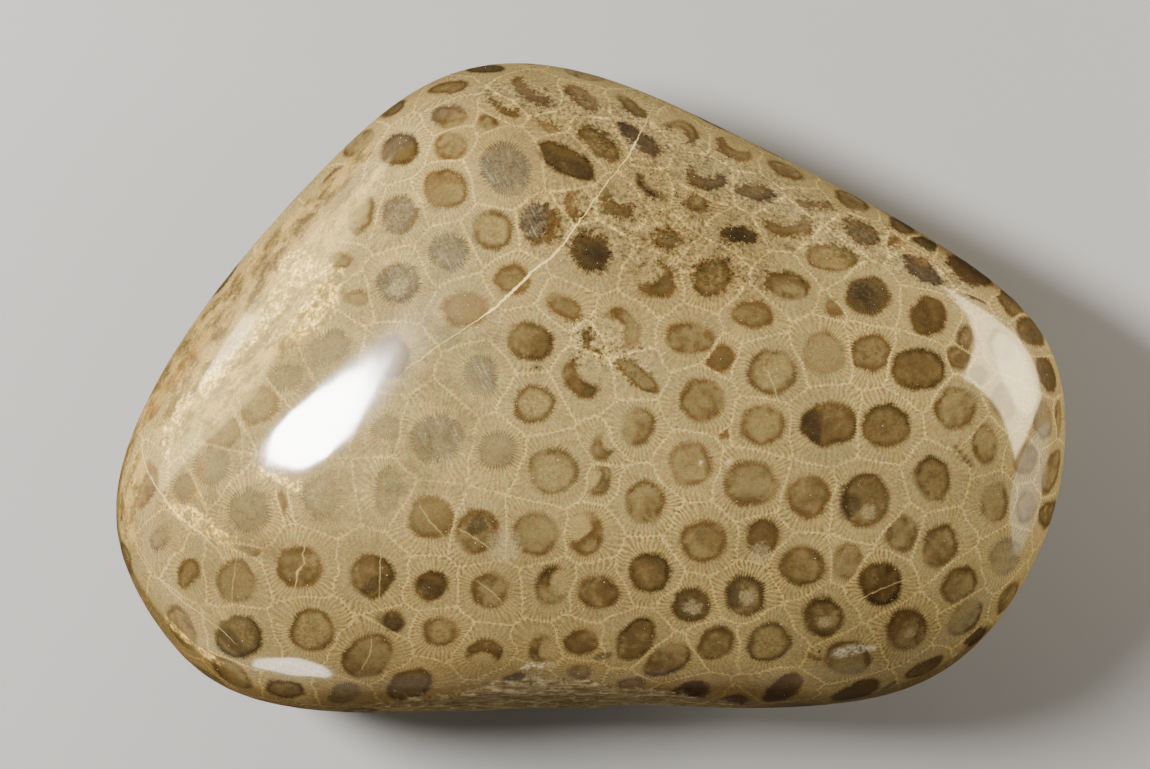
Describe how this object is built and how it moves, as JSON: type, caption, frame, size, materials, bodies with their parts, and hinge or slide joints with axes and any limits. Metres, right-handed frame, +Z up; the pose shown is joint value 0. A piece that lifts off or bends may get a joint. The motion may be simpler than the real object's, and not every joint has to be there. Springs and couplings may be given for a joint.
{
  "type": "polished fossil coral stone",
  "caption": "Palm-sized polished pebble of fossil colonial coral, a rounded uneven stone whose six-sided corallites show as cells of fine rays; lies on a small flat spot underneath.",
  "frame": {"origin": "in the plane of the flat spot that the stone rests on, under the middle of the stone's box", "axes": "+X along the stone's longest extent, towards its blunt right end in the picture; +Y towards its pointed far side, which is up in the picture; +Z up, along its shortest extent, out of the face that the picture shows"},
  "size_m": [0.1058, 0.0724, 0.0405],
  "materials": {
    "polished_coral": "polished limestone, tan with brown corallite centres, pale walls and rays and a cream calcite vein; rough in one shallow hollow"
  },
  "bodies": {
    "root": {"coral_stone": "polished_coral"}
  },
  "joints": []
}
